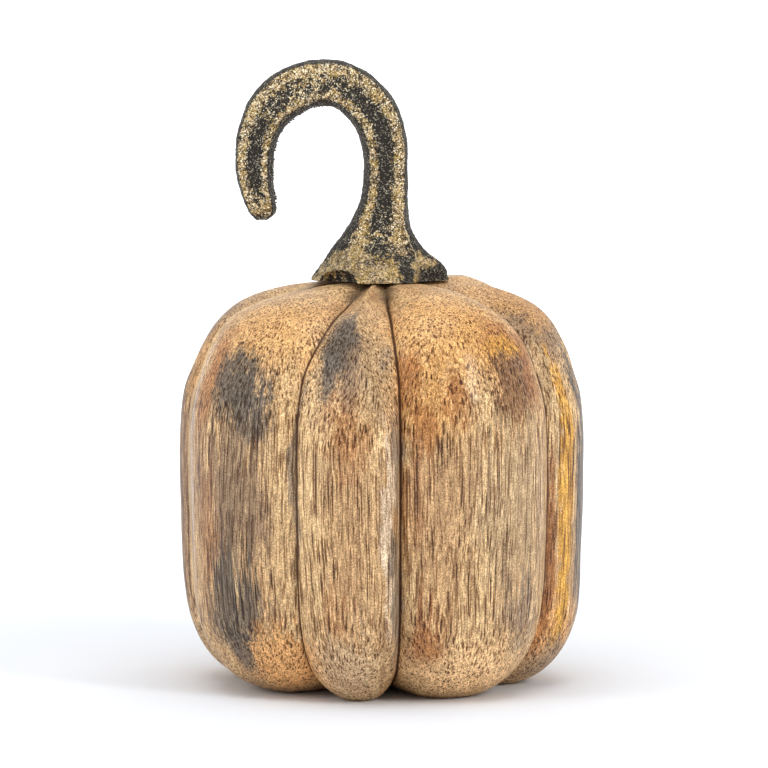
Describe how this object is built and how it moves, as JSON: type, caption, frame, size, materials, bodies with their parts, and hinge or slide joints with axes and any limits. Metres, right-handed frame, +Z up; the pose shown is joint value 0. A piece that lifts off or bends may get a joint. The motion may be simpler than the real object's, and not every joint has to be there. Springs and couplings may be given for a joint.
{
  "type": "carved wooden pumpkin ornament",
  "caption": "Lobed pumpkin ornament carved from one wood block, with a cast-metal stem that bends over into an open hook above a flared foot.",
  "frame": {"origin": "middle of the flat underside, on the surface that the ornament stands on", "axes": "+Z up along the body's axis, -Y towards the front, +X to the right seen from the front; the hook's tip points to -X"},
  "size_m": [0.1024, 0.103, 0.1575],
  "materials": {
    "carved_wood": "spalted golden-brown hardwood with dark pores under clear satin lacquer",
    "cast_metal": "rough sand casting, black patina with dry-brushed antique gold on the raised rims",
    "stud_steel": "plain zinc-plated stud, hidden"
  },
  "bodies": {
    "root": {"wood_body": "carved_wood", "stem": "cast_metal", "stem_stud": "stud_steel"}
  },
  "joints": []
}
